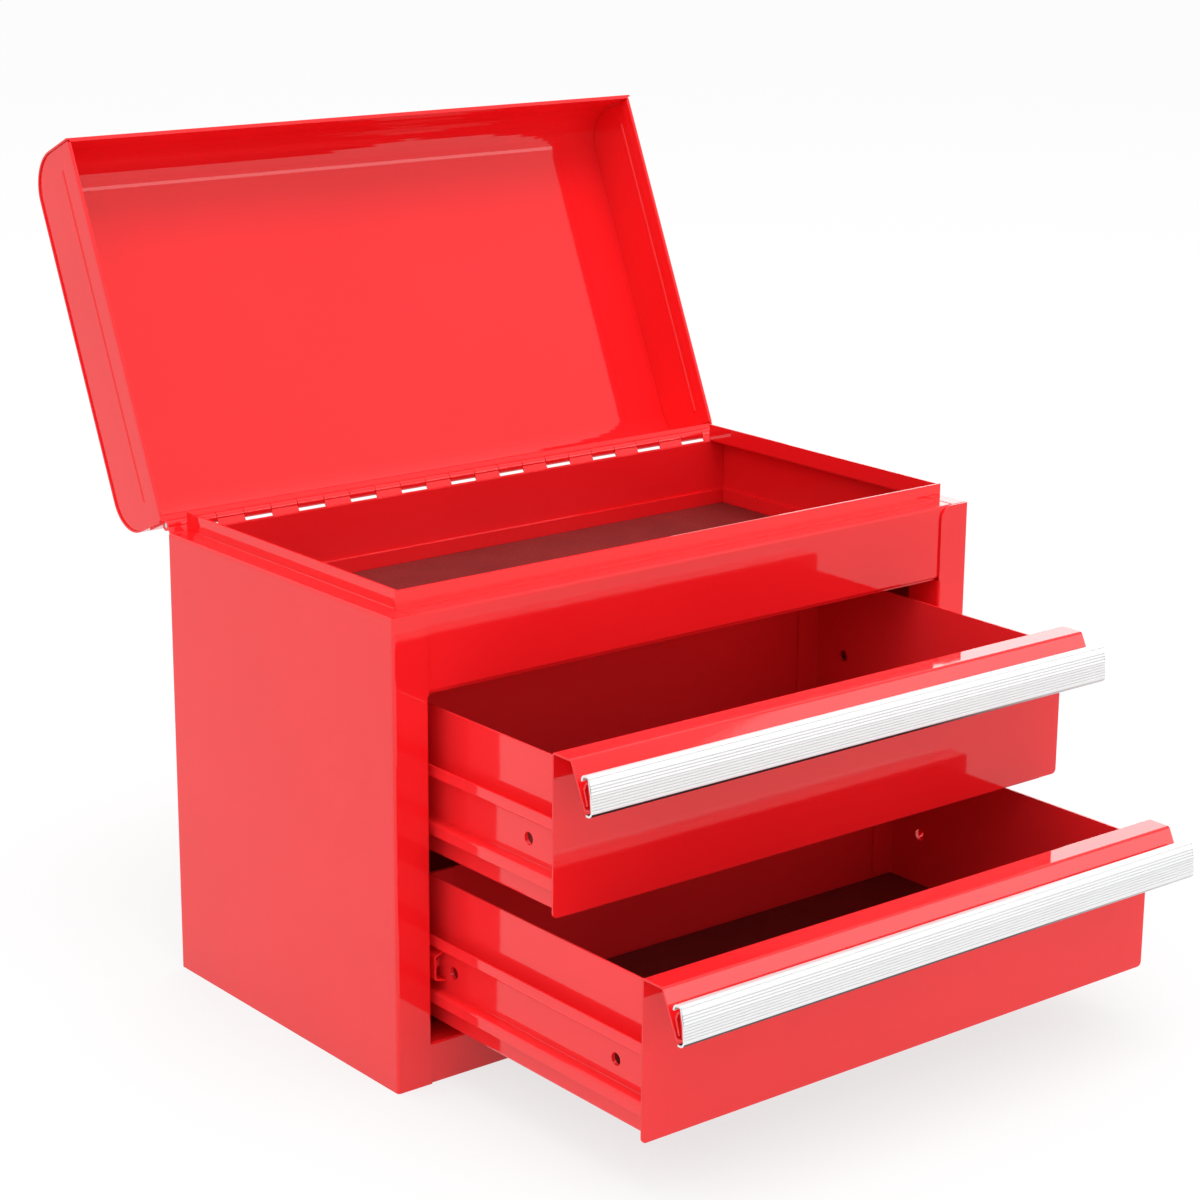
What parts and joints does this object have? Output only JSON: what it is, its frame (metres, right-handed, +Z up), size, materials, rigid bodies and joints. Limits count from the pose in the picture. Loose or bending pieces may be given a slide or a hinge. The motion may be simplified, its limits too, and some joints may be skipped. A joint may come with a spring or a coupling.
{
  "type": "portable tool box with drawers",
  "caption": "Portable sheet steel tool box with a hinged lid over an open tray and drawers on telescopic slides below.",
  "frame": {"origin": "on the floor, at the middle of the cabinet's footprint", "axes": "+X to the right as seen from the front, +Y to the back, +Z up"},
  "size_m": [0.3, 0.4053, 0.343],
  "materials": {
    "red_paint": "gloss",
    "plated_steel": "satin",
    "drawer_lining": "satin",
    "ribbed_aluminium": "satin"
  },
  "bodies": {
    "cabinet": {"side_panel_left": "red_paint", "side_panel_right": "red_paint", "back_panel": "red_paint", "bottom_panel": "red_paint", "bottom_rail": "red_paint", "header_panel": "red_paint", "tray_floor": "red_paint", "tray_liner": "drawer_lining", "hinge_leaf_lower": "red_paint", "hinge_pin": "plated_steel", "fixed_rail_upper_left": "plated_steel", "fixed_rail_upper_right": "plated_steel", "fixed_rail_lower_left": "plated_steel", "fixed_rail_lower_right": "plated_steel", "rail_brackets_left": "plated_steel", "rail_brackets_right": "plated_steel"},
    "lid": {"lid_shell": "red_paint", "lid_end_left": "red_paint", "lid_end_right": "red_paint", "hinge_leaf_upper": "red_paint"},
    "upper_slide_rails": {"slide_rail_upper_left": "red_paint", "slide_rail_upper_right": "red_paint"},
    "lower_slide_rails": {"slide_rail_lower_left": "red_paint", "slide_rail_lower_right": "red_paint"},
    "upper_drawer": {"upper_drawer_front": "red_paint", "upper_drawer_box": "red_paint", "upper_drawer_back": "red_paint", "upper_drawer_liner": "drawer_lining", "upper_channel_left": "red_paint", "upper_channel_right": "red_paint", "upper_pull_trim": "ribbed_aluminium"},
    "lower_drawer": {"lower_drawer_front": "red_paint", "lower_drawer_box": "red_paint", "lower_drawer_back": "red_paint", "lower_drawer_liner": "drawer_lining", "lower_channel_left": "red_paint", "lower_channel_right": "red_paint", "lower_pull_trim": "ribbed_aluminium"}
  },
  "joints": [
    {"name": "lid_hinge", "type": "hinge", "parent": "cabinet", "child": "lid", "pos_m": [0, 0.084, 0.192], "axis": [1, 0, 0], "range_deg": [0, 114.7]},
    {"name": "upper_drawer_slide", "type": "slide", "parent": "cabinet", "child": "upper_drawer", "axis": [0, -1, 0], "range_m": [-0.0907, 0.0515]},
    {"name": "lower_drawer_slide", "type": "slide", "parent": "cabinet", "child": "lower_drawer", "axis": [0, -1, 0], "range_m": [-0.1422, 0]},
    {"name": "upper_rails_slide", "type": "slide", "parent": "cabinet", "child": "upper_slide_rails", "axis": [0, -1, 0], "range_m": [-0.04535, 0.02575]},
    {"name": "lower_rails_slide", "type": "slide", "parent": "cabinet", "child": "lower_slide_rails", "axis": [0, -1, 0], "range_m": [-0.0711, 0]}
  ],
  "couplings": [
    {"joint": "upper_rails_slide", "follows": "upper_drawer_slide", "ratio": 0.5},
    {"joint": "lower_rails_slide", "follows": "lower_drawer_slide", "ratio": 0.5}
  ]
}
